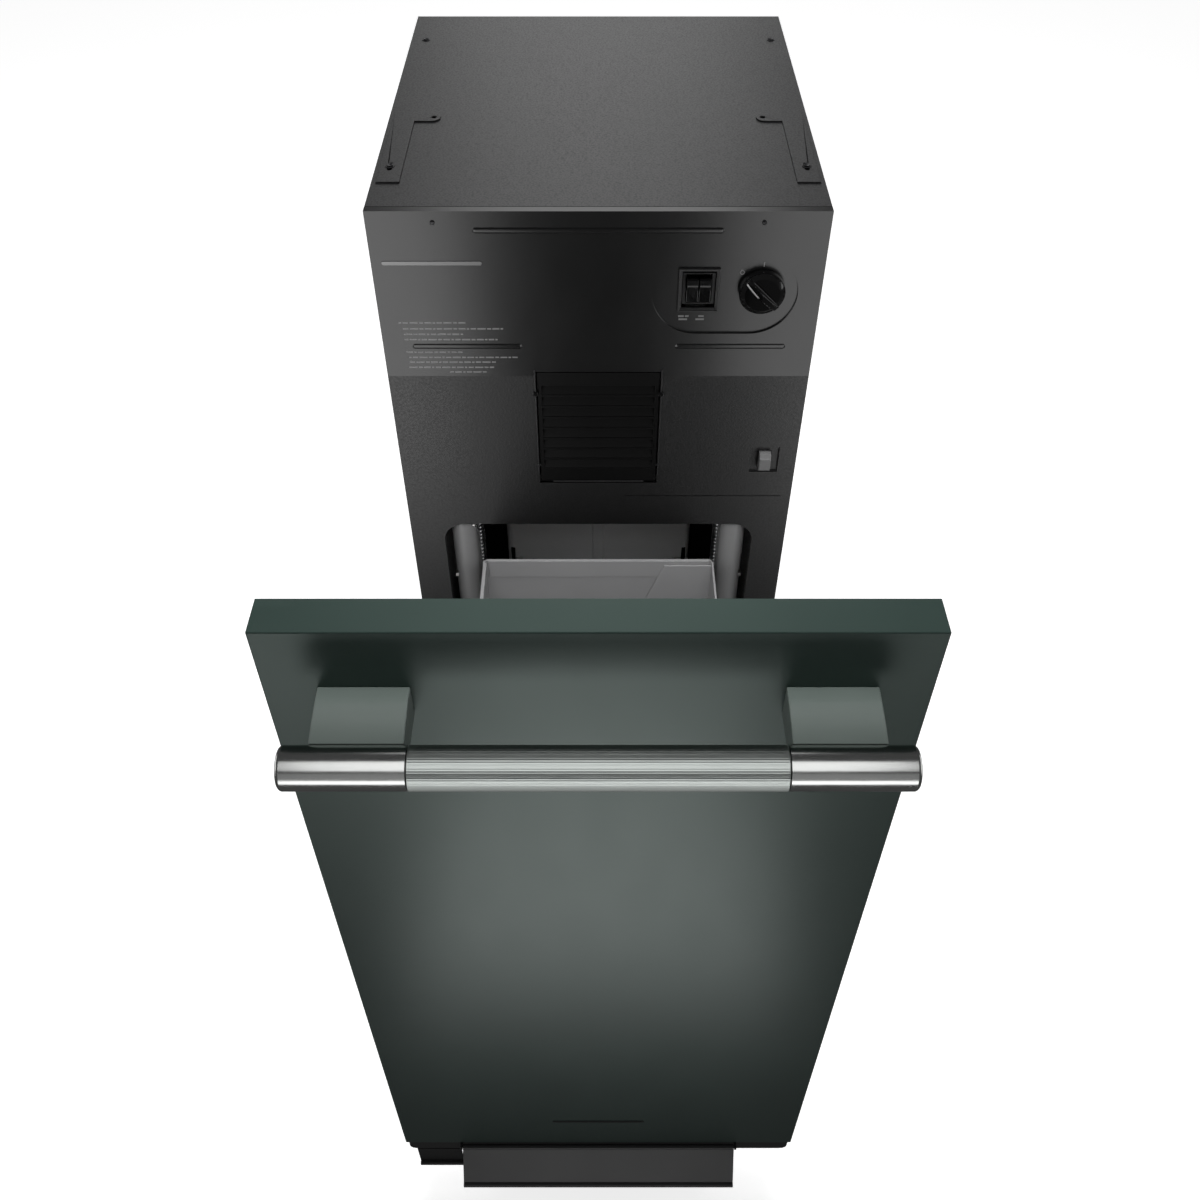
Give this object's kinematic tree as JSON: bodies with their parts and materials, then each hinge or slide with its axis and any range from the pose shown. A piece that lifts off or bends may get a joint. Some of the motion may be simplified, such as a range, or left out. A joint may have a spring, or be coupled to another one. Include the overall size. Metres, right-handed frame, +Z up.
{
  "type": "trash compactor",
  "caption": "Kitchen trash compactor with a steel cabinet, open slide-out drawer and bin, bar handle, screw-driven ram, toe bar and start pedal.",
  "frame": {"origin": "on the floor, midway between the front of the open drawer's handle and the cabinet's back, on the cabinet's middle plane", "axes": "+X to the user's right when facing the drawer, +Y towards the cabinet's back, +Z up; the drawer opens towards -Y"},
  "size_m": [0.3832, 0.9402, 0.8701],
  "materials": {
    "cabinet_black": "semi-gloss black powder coat with a fine leather-like texture",
    "panel_black": "smooth satin black enamel",
    "liner_grey": "satin dark grey paint",
    "column_steel": "satin rolled steel",
    "drawer_green": "satin dark green baked enamel",
    "post_green": "satin dark green enamel",
    "handle_steel": "polished stainless steel with lengthwise brushing",
    "inner_black": "satin black paint",
    "toe_grey": "satin charcoal paint",
    "bin_grey": "satin light grey paint",
    "zinc_steel": "zinc plated",
    "black_oxide": "black oxide",
    "ball_steel": "bright steel",
    "gloss_black": "glossy black",
    "moulded_black": "fine moulded texture",
    "interlock_grey": "light grey acetal",
    "carbon": "charcoal foam",
    "rubber_black": "matt rubber",
    "motor_black": "black lacquer",
    "screw_steel": "oiled machined steel",
    "bronze": "oiled bronze",
    "ram_iron": "painted casting"
  },
  "bodies": {
    "cabinet": {"side_panel_left": "cabinet_black", "side_panel_right": "cabinet_black", "rear_panel": "cabinet_black", "top_panel": "cabinet_black", "front_frame": "cabinet_black", "base_pan": "cabinet_black", "drive_deck": "cabinet_black", "control_panel": "panel_black", "countertop_brackets": "panel_black", "rear_liner": "liner_grey", "guard_columns": "column_steel", "slide_outer_left": "zinc_steel", "slide_outer_right": "zinc_steel", "case_screws": "black_oxide", "levelling_feet": "black_oxide", "switch_bezel": "gloss_black", "rocker_switch_body": "moulded_black", "key_switch_body": "moulded_black", "filter_tray": "moulded_black", "interlock_housing": "moulded_black", "limit_switches": "moulded_black", "fan_housing": "moulded_black", "charcoal_filter": "carbon", "cord_grommet": "rubber_black", "drive_belt": "rubber_black", "motor": "motor_black", "drive_chain": "screw_steel", "shaft_bearings": "bronze"},
    "drawer": {"slide_inner_left": "zinc_steel", "slide_inner_right": "zinc_steel", "drawer_front_skin": "drawer_green", "drawer_inner_panel": "inner_black", "drawer_base": "inner_black", "base_strip": "inner_black", "handle_posts": "post_green", "handle_bar": "handle_steel", "handle_grip": "handle_steel", "handle_screws": "zinc_steel", "bin_shell": "bin_grey", "latch_keeper": "zinc_steel"},
    "slide_middle": {"slide_middle_left": "zinc_steel", "slide_middle_right": "zinc_steel", "slide_balls": "ball_steel"},
    "ram": {"ram_plate": "ram_iron", "ram_yoke": "ram_iron", "power_nuts": "bronze"},
    "key_knob": {"key_knob": "gloss_black"},
    "solid_pack_rocker": {"solid_pack_rocker": "gloss_black"},
    "air_filter_rocker": {"air_filter_rocker": "gloss_black"},
    "filter_cover": {"filter_cover": "moulded_black"},
    "fan_impeller": {"fan_impeller": "ball_steel"},
    "interlock_plunger": {"interlock_plunger": "interlock_grey"},
    "power_screw_left": {"power_screw_left": "screw_steel"},
    "power_screw_right": {"power_screw_right": "screw_steel"},
    "drive_pulley": {"drive_pulley": "screw_steel"},
    "motor_pulley": {"motor_pulley": "screw_steel"},
    "bin_side": {"bin_side_panel": "bin_grey"},
    "bin_latch": {"bin_latch": "moulded_black"},
    "toe_bar": {"toe_bar": "toe_grey"},
    "start_pedal": {"start_pedal": "inner_black"}
  },
  "joints": [
    {"name": "drawer_slide", "type": "slide", "parent": "cabinet", "child": "drawer", "axis": [0, -1, 0], "range_m": [-0.432, 0]},
    {"name": "slide_extend", "type": "slide", "parent": "cabinet", "child": "slide_middle", "axis": [0, -1, 0], "range_m": [-0.216, 0]},
    {"name": "ram_slide", "type": "slide", "parent": "cabinet", "child": "ram", "axis": [0, 0, 1], "range_m": [-0.225, 0]},
    {"name": "screw_left_spin", "type": "hinge", "parent": "cabinet", "child": "power_screw_left", "pos_m": [-0.152, 0.25805, 0.4], "axis": [0, 0, 1], "continuous": true},
    {"name": "screw_right_spin", "type": "hinge", "parent": "cabinet", "child": "power_screw_right", "pos_m": [0.152, 0.25805, 0.4], "axis": [0, 0, 1], "continuous": true},
    {"name": "drive_spin", "type": "hinge", "parent": "cabinet", "child": "drive_pulley", "pos_m": [0, 0.31005, 0.79], "axis": [0, 0, 1], "continuous": true},
    {"name": "motor_spin", "type": "hinge", "parent": "cabinet", "child": "motor_pulley", "pos_m": [0, 0.39305, 0.79], "axis": [0, 0, 1], "continuous": true},
    {"name": "fan_spin", "type": "hinge", "parent": "cabinet", "child": "fan_impeller", "pos_m": [0, 0.10805, 0.645], "axis": [0, 1, 0], "continuous": true},
    {"name": "knob_turn", "type": "hinge", "parent": "cabinet", "child": "key_knob", "pos_m": [0.139, 0.04805, 0.7943], "axis": [0, 1, 0], "range_deg": [0, 45]},
    {"name": "solid_pack_press", "type": "hinge", "parent": "cabinet", "child": "solid_pack_rocker", "pos_m": [0.0855, 0.05605, 0.7945], "axis": [-1, 0, 0], "range_deg": [0, 16]},
    {"name": "air_filter_press", "type": "hinge", "parent": "cabinet", "child": "air_filter_rocker", "pos_m": [0.0855, 0.05605, 0.7945], "axis": [-1, 0, 0], "range_deg": [0, 16]},
    {"name": "filter_open", "type": "hinge", "parent": "cabinet", "child": "filter_cover", "pos_m": [0, 0.05305, 0.5865], "axis": [1, 0, 0], "range_deg": [0, 70]},
    {"name": "interlock_press", "type": "slide", "parent": "cabinet", "child": "interlock_plunger", "axis": [0, 1, 0], "range_m": [0, 0.006], "stiffness_N_per_m": 250},
    {"name": "bin_side_tilt", "type": "hinge", "parent": "drawer", "child": "bin_side", "pos_m": [0.11, -0.18545, 0.114], "axis": [0, 1, 0], "range_deg": [0, 8]},
    {"name": "latch_slide", "type": "slide", "parent": "bin_side", "child": "bin_latch", "axis": [0, 1, 0], "range_m": [-0.012, 0]},
    {"name": "toe_press", "type": "hinge", "parent": "drawer", "child": "toe_bar", "pos_m": [0, -0.41285, 0.1145], "axis": [-1, 0, 0], "range_deg": [0, 15], "stiffness_Nm_per_rad": 2},
    {"name": "pedal_press", "type": "hinge", "parent": "drawer", "child": "start_pedal", "pos_m": [-0.16, -0.39145, 0.0915], "axis": [1, 0, 0], "range_deg": [0, 8], "stiffness_Nm_per_rad": 3}
  ],
  "couplings": [
    {"joint": "slide_extend", "follows": "drawer_slide", "ratio": 0.5},
    {"joint": "screw_left_spin", "follows": "ram_slide", "rad_per_m": -494.74},
    {"joint": "screw_right_spin", "follows": "ram_slide", "rad_per_m": -494.74},
    {"joint": "drive_spin", "follows": "ram_slide", "rad_per_m": -989.48},
    {"joint": "motor_spin", "follows": "ram_slide", "rad_per_m": -3533.9}
  ]
}
